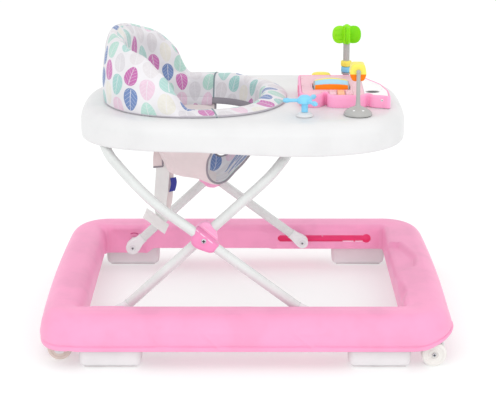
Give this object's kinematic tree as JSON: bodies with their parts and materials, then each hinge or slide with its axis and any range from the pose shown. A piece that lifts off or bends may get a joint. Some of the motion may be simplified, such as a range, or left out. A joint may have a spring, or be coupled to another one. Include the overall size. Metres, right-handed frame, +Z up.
{
  "type": "baby walker",
  "caption": "Baby walker: moulded ring base on castors, folding scissor frame, egg-shaped tray with padded high-back seat and spinning tray toys.",
  "frame": {"origin": "centre of the footprint of the base ring, on the floor", "axes": "+X to the front (toy end), +Y to the child's left, +Z up"},
  "size_m": [0.704, 0.6, 0.532],
  "materials": {
    "pink_plastic": "satin moulded, slightly grained",
    "deep_pink_plastic": "satin moulded",
    "pale_pink_plastic": "satin moulded",
    "white_plastic": "satin moulded",
    "wheel_white": "matte moulded",
    "white_enamel": "gloss powder coat",
    "zinc_steel": "zinc plated",
    "sole_rubber": "matte",
    "print_fabric": "woven polyester, leaf-shaped ovals",
    "lining_fabric": "plain woven lining",
    "tag_fabric": "plain white ribbon",
    "grey_plastic": "satin moulded",
    "dark_plastic": "matte",
    "board_green": "solder mask",
    "orange_plastic": "gloss moulded",
    "yellow_plastic": "gloss moulded",
    "blue_plastic": "gloss moulded",
    "green_plastic": "gloss moulded"
  },
  "bodies": {
    "base": {"base_shell": "pink_plastic", "brake_pads": "white_plastic", "brake_pad_soles": "sole_rubber", "base_screws": "zinc_steel", "slide_guides": "deep_pink_plastic", "rear_wheel_brackets": "white_plastic", "rear_axles": "zinc_steel", "rear_pivot_pins": "zinc_steel"},
    "rear_wheel_right": {"rear_wheel_right": "wheel_white"},
    "rear_wheel_left": {"rear_wheel_left": "wheel_white"},
    "caster_right": {"caster_fork_right": "white_plastic"},
    "caster_left": {"caster_fork_left": "white_plastic"},
    "caster_wheels_right": {"caster_wheels_right": "wheel_white", "caster_axle_right": "zinc_steel"},
    "caster_wheels_left": {"caster_wheels_left": "wheel_white", "caster_axle_left": "zinc_steel"},
    "inner_frame": {"inner_leg_right": "white_enamel", "inner_leg_left": "white_enamel", "inner_crossbar": "white_enamel", "inner_end_caps": "white_plastic", "hub_inner_covers": "pink_plastic", "hub_bolts": "zinc_steel"},
    "outer_frame": {"outer_leg_right": "white_enamel", "outer_leg_left": "white_enamel", "outer_crossbar": "white_enamel", "outer_end_caps": "white_plastic", "slider_pins": "zinc_steel", "hub_outer_covers": "pink_plastic"},
    "tray": {"tray_shell": "white_plastic", "tray_pivot_brackets": "white_plastic", "tray_tracks": "white_plastic", "seat_ring": "white_plastic", "seat_collar": "print_fabric", "backrest_pad": "print_fabric", "backrest_board": "white_plastic", "seat_sling": "lining_fabric", "care_tag": "tag_fabric", "console_base": "pink_plastic", "console_top": "pale_pink_plastic", "console_panel": "white_plastic", "speaker_grille": "dark_plastic", "speaker": "grey_plastic", "circuit_board": "board_green", "battery_cells": "zinc_steel", "battery_door": "pink_plastic", "roller_axle": "zinc_steel", "windmill_post": "grey_plastic", "drum_stand": "grey_plastic", "spinner_base": "white_plastic", "toy_screws": "zinc_steel"},
    "roller": {"roller_barrel": "orange_plastic"},
    "key_left": {"key_left": "pale_pink_plastic"},
    "key_middle": {"key_middle": "orange_plastic"},
    "key_right": {"key_right": "pale_pink_plastic"},
    "yellow_button": {"yellow_button": "yellow_plastic"},
    "windmill_rotor": {"windmill_rotor": "green_plastic"},
    "ring_blue": {"ring_blue": "blue_plastic"},
    "ring_yellow": {"ring_yellow": "yellow_plastic"},
    "drum": {"drum_body": "orange_plastic"},
    "spinner": {"spinner_rotor": "blue_plastic"}
  },
  "joints": [
    {"name": "fold", "type": "hinge", "parent": "base", "child": "inner_frame", "pos_m": [-0.221, 0, 0.06], "axis": [0, 1, 0], "range_deg": [0, 35], "deforming": ["care_tag"]},
    {"name": "hub_pivot", "type": "hinge", "parent": "inner_frame", "child": "outer_frame", "pos_m": [-0.071, 0, 0.201], "axis": [0, 1, 0], "range_deg": [-66, 0]},
    {"name": "tray_pivot", "type": "hinge", "parent": "outer_frame", "child": "tray", "pos_m": [-0.245, 0, 0.375], "axis": [0, 1, 0], "range_deg": [0, 31]},
    {"name": "rear_wheel_right_roll", "type": "hinge", "parent": "base", "child": "rear_wheel_right", "pos_m": [-0.315, -0.24, 0.021], "axis": [0, 1, 0], "continuous": true},
    {"name": "caster_right_swivel", "type": "hinge", "parent": "base", "child": "caster_right", "pos_m": [0.322, -0.264, 0.058], "axis": [0, 0, 1], "continuous": true},
    {"name": "caster_right_roll", "type": "hinge", "parent": "caster_right", "child": "caster_wheels_right", "pos_m": [0.314, -0.264, 0.021], "axis": [0, 1, 0], "continuous": true},
    {"name": "rear_wheel_left_roll", "type": "hinge", "parent": "base", "child": "rear_wheel_left", "pos_m": [-0.315, 0.24, 0.021], "axis": [0, 1, 0], "continuous": true},
    {"name": "caster_left_swivel", "type": "hinge", "parent": "base", "child": "caster_left", "pos_m": [0.322, 0.264, 0.058], "axis": [0, 0, 1], "continuous": true},
    {"name": "caster_left_roll", "type": "hinge", "parent": "caster_left", "child": "caster_wheels_left", "pos_m": [0.314, 0.264, 0.021], "axis": [0, 1, 0], "continuous": true},
    {"name": "roller_spin", "type": "hinge", "parent": "tray", "child": "roller", "pos_m": [0.148, -0.036, 0.421], "axis": [1, 0, 0], "continuous": true},
    {"name": "windmill_spin", "type": "hinge", "parent": "tray", "child": "windmill_rotor", "pos_m": [0.181, 0.08, 0.497], "axis": [0, 0, 1], "continuous": true},
    {"name": "ring_blue_spin", "type": "hinge", "parent": "tray", "child": "ring_blue", "pos_m": [0.181, 0.08, 0.433], "axis": [0, 0, 1], "continuous": true},
    {"name": "ring_yellow_spin", "type": "hinge", "parent": "tray", "child": "ring_yellow", "pos_m": [0.181, 0.08, 0.444], "axis": [0, 0, 1], "continuous": true},
    {"name": "drum_spin", "type": "hinge", "parent": "tray", "child": "drum", "pos_m": [0.188, -0.12, 0.473], "axis": [0, 1, 0], "continuous": true},
    {"name": "spinner_spin", "type": "hinge", "parent": "tray", "child": "spinner", "pos_m": [0.098, -0.152, 0.425], "axis": [0, 0, 1], "continuous": true},
    {"name": "key_left_press", "type": "slide", "parent": "tray", "child": "key_left", "axis": [0, 0, -1], "range_m": [0, 0.0025], "stiffness_N_per_m": 300, "springref_m": -0.0006},
    {"name": "key_middle_press", "type": "slide", "parent": "tray", "child": "key_middle", "axis": [0, 0, -1], "range_m": [0, 0.0025], "stiffness_N_per_m": 300, "springref_m": -0.0006},
    {"name": "key_right_press", "type": "slide", "parent": "tray", "child": "key_right", "axis": [0, 0, -1], "range_m": [0, 0.0025], "stiffness_N_per_m": 300, "springref_m": -0.0006},
    {"name": "yellow_button_press", "type": "slide", "parent": "tray", "child": "yellow_button", "axis": [0, 0, -1], "range_m": [0, 0.004], "stiffness_N_per_m": 300, "springref_m": -0.001}
  ],
  "couplings": [
    {"joint": "hub_pivot", "follows": "fold", "ratio": -1.88},
    {"joint": "tray_pivot", "follows": "fold", "ratio": 0.88}
  ]
}
